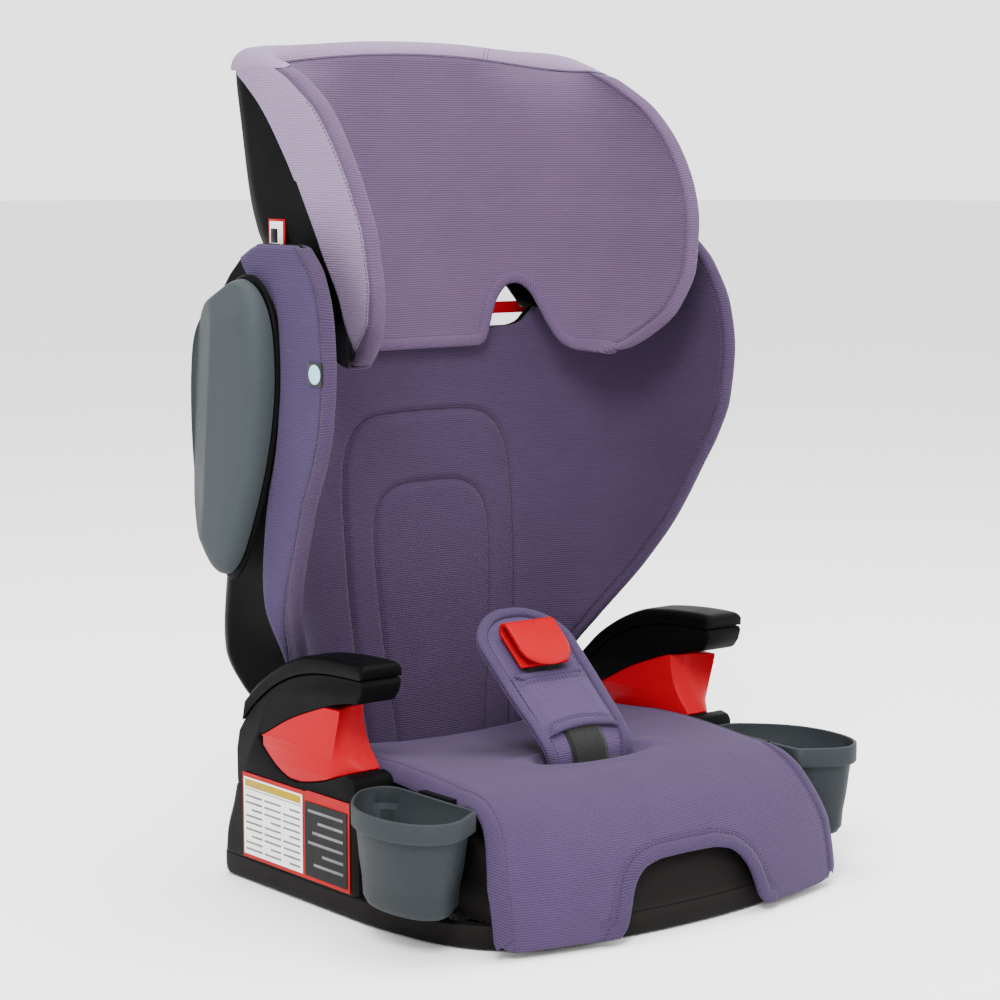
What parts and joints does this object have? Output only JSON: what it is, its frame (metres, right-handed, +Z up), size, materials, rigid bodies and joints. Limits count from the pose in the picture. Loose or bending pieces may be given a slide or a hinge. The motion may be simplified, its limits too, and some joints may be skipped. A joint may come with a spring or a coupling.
{
  "type": "booster seat",
  "caption": "High-back child booster seat with winged back, height-adjustable winged headrest, armrests with belt guides, side cup holders and a crotch clip strap.",
  "frame": {"origin": "centre of the base between its side walls, on the plane the seat stands on", "axes": "+Z up, the seat faces -Y, +X towards the seated child's left"},
  "size_m": [0.503, 0.4089, 0.7218],
  "materials": {
    "black_plastic": "fine-grained moulded",
    "slate_plastic": "coarse-grained moulded",
    "red_plastic": "satin to gloss moulded",
    "mauve_fabric": "ribbed knit",
    "purple_fabric": "ribbed knit",
    "seat_fabric": "ribbed knit",
    "strap_fabric": "ribbed knit",
    "foam_grey": "open-cell foam",
    "webbing_black": "woven webbing",
    "steel": "brushed",
    "rubber_black": "matt",
    "label_white": "printed film"
  },
  "bodies": {
    "base": {"base_upper_shell": "black_plastic", "notch_tray": "black_plastic", "base_lower_shell": "black_plastic", "foot_front_left": "rubber_black", "foot_front_right": "rubber_black", "foot_rear_left": "rubber_black", "foot_rear_right": "rubber_black", "base_screw_front_left": "steel", "base_screw_front_right": "steel", "base_screw_rear_left": "steel", "base_screw_rear_right": "steel", "pivot_rod": "steel", "pivot_bracket_left": "black_plastic", "pivot_bracket_right": "black_plastic", "strap_anchor": "steel", "side_label_backing": "red_plastic", "side_label_pale_panel": "label_white", "side_label_dark_panel": "black_plastic", "seat_cover": "seat_fabric", "seat_foam": "foam_grey", "armrest_body_left": "black_plastic", "armrest_body_right": "black_plastic", "armrest_cap_left": "black_plastic", "armrest_cap_right": "black_plastic", "belt_guide_left": "red_plastic", "belt_guide_right": "red_plastic", "cup_bracket_left": "black_plastic", "cup_bracket_right": "black_plastic"},
    "cup_left": {"cup_holder_left": "slate_plastic"},
    "cup_right": {"cup_holder_right": "slate_plastic"},
    "clip_strap": {"strap_pad": "strap_fabric", "strap_webbing": "webbing_black", "strap_sleeve": "strap_fabric", "belt_clip": "red_plastic"},
    "backrest": {"back_cover": "purple_fabric", "back_foam": "foam_grey", "back_shell": "black_plastic", "height_rack": "black_plastic", "wing_tag": "label_white", "side_pod_left": "slate_plastic", "side_pod_right": "slate_plastic", "pod_gasket_left": "black_plastic", "pod_gasket_right": "black_plastic", "guide_rail_left": "black_plastic", "guide_rail_right": "black_plastic", "hinge_hook_left": "black_plastic", "hinge_hook_right": "black_plastic"},
    "headrest": {"headrest_cover": "mauve_fabric", "headrest_foam": "foam_grey", "headrest_shell": "black_plastic", "headrest_top": "mauve_fabric", "headrest_carriage": "black_plastic", "handle_housing": "slate_plastic", "headrest_label": "label_white", "shoulder_guide_left": "red_plastic", "shoulder_guide_right": "red_plastic"},
    "handle": {"release_handle": "red_plastic", "release_link": "steel"},
    "lock": {"lock_bar": "steel"}
  },
  "joints": [
    {"name": "recline", "type": "hinge", "parent": "base", "child": "backrest", "pos_m": [0, 0.19, 0.066], "axis": [-1, 0, 0], "range_deg": [0, 12]},
    {"name": "headrest_height", "type": "slide", "parent": "backrest", "child": "headrest", "axis": [0, 0.0797, 0.9968], "range_m": [0, 0.13]},
    {"name": "handle_pull", "type": "slide", "parent": "headrest", "child": "handle", "axis": [0, 0.0797, 0.9968], "range_m": [0, 0.008], "stiffness_N_per_m": 500},
    {"name": "lock_release", "type": "slide", "parent": "headrest", "child": "lock", "axis": [0, 0.9968, -0.0797], "range_m": [0, 0.004]},
    {"name": "cup_left_lift", "type": "slide", "parent": "base", "child": "cup_left", "axis": [0, 0, 1], "range_m": [0, 0.06]},
    {"name": "cup_right_lift", "type": "slide", "parent": "base", "child": "cup_right", "axis": [0, 0, 1], "range_m": [0, 0.06]},
    {"name": "clip_strap_tilt", "type": "hinge", "parent": "base", "child": "clip_strap", "pos_m": [0, -0.0355, 0.1], "axis": [1, 0, 0], "range_deg": [-8, 14]}
  ],
  "couplings": [
    {"joint": "lock_release", "follows": "handle_pull", "ratio": 0.5}
  ]
}
